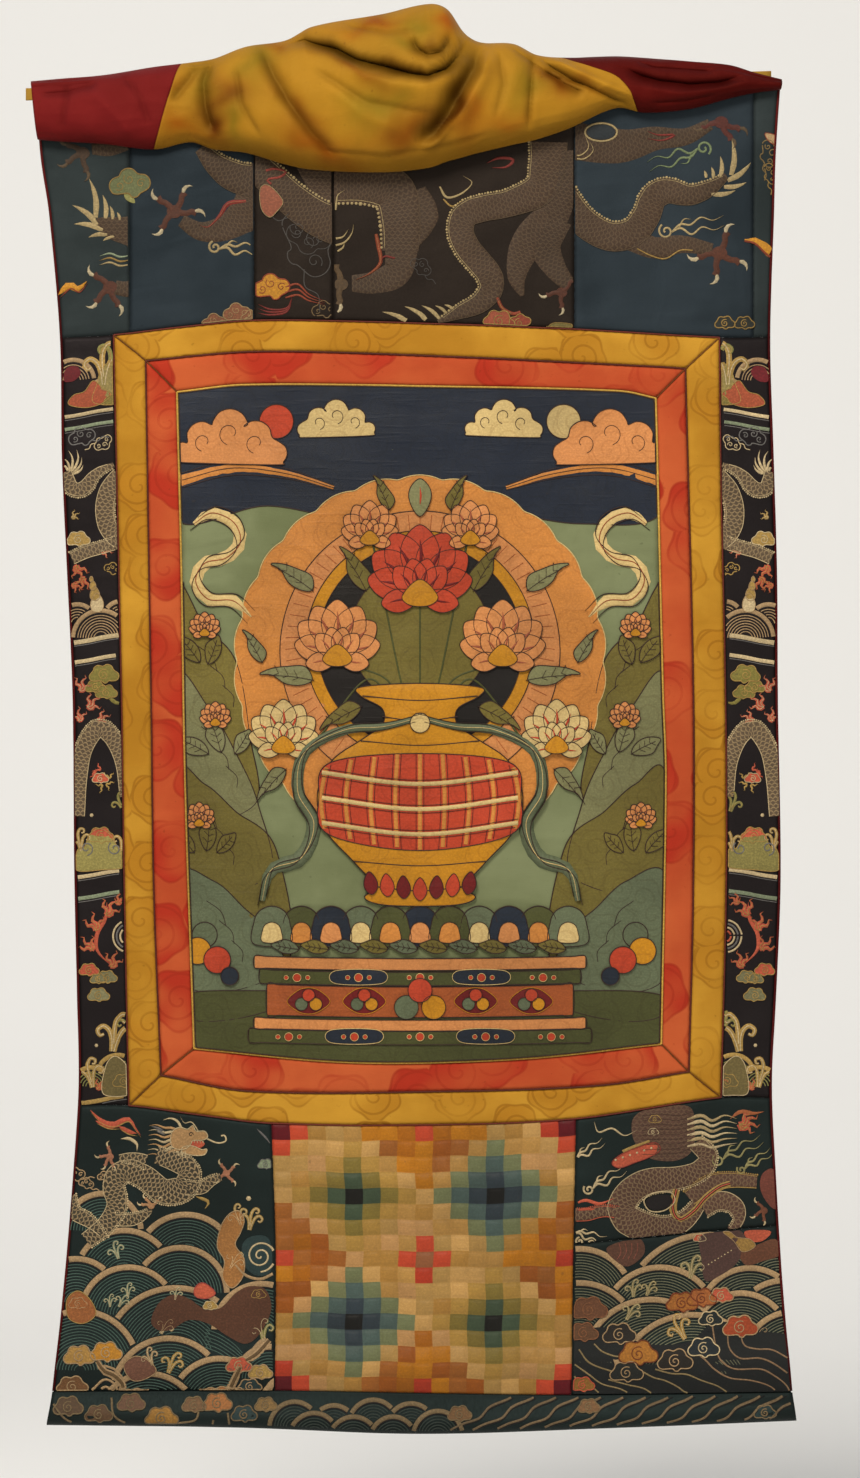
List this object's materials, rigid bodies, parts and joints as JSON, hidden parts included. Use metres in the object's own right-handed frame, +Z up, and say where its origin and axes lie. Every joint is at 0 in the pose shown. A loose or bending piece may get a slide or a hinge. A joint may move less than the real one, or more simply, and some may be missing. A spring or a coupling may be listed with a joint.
{
  "type": "silk thangka hanging scroll with pieced brocade mount and gathered dust veil",
  "caption": "Silk thangka scroll hanging: a framed applique picture in mitred damask borders and a dark pieced brocade mount, its dust veil gathered over the top.",
  "frame": {"origin": "middle of the hanging's top edge, on the face of the heading, where the tape is held up", "axes": "+Z up the hanging, +X to the viewer's right, -Y towards the viewer"},
  "size_m": [0.8599, 0.0745, 1.5928],
  "materials": {
    "dark_brocade": "satin weave with woven dragons and clouds",
    "blue_brocade": "satin weave with woven dragons and clouds",
    "black_brocade": "satin weave with woven dragons, clouds and waves",
    "wave_brocade": "satin weave with woven waves and clouds",
    "yellow_damask": "silk damask, tone on tone cloud scrolls",
    "red_damask": "silk damask, tone on tone cloud scrolls",
    "picture_silk": "silk applique with couched cord outlines",
    "patchwork_silk": "pieced small squares of silk damask",
    "veil_yellow": "plain silk, tie-dyed in brown and olive blotches",
    "veil_red": "plain silk",
    "red_binding": "folded silk strip"
  },
  "bodies": {
    "root": {"heading_tape": "veil_yellow", "heading_1": "dark_brocade", "heading_2": "blue_brocade", "heading_3": "black_brocade", "heading_4": "black_brocade", "heading_5": "blue_brocade", "heading_6": "dark_brocade", "side_left": "black_brocade", "side_right": "black_brocade", "border_yellow_top": "yellow_damask", "border_yellow_right": "yellow_damask", "border_yellow_bottom": "yellow_damask", "border_yellow_left": "yellow_damask", "border_red_top": "red_damask", "border_red_right": "red_damask", "border_red_bottom": "red_damask", "border_red_left": "red_damask", "picture": "picture_silk", "door_patchwork": "patchwork_silk", "lower_left": "wave_brocade", "lower_right_top": "dark_brocade", "lower_right_waves": "wave_brocade", "binding_left": "red_binding", "binding_right": "red_binding", "roller_sleeve": "wave_brocade", "veil_end_left": "veil_red", "veil_middle": "veil_yellow", "veil_end_right": "veil_red"}
  },
  "joints": []
}
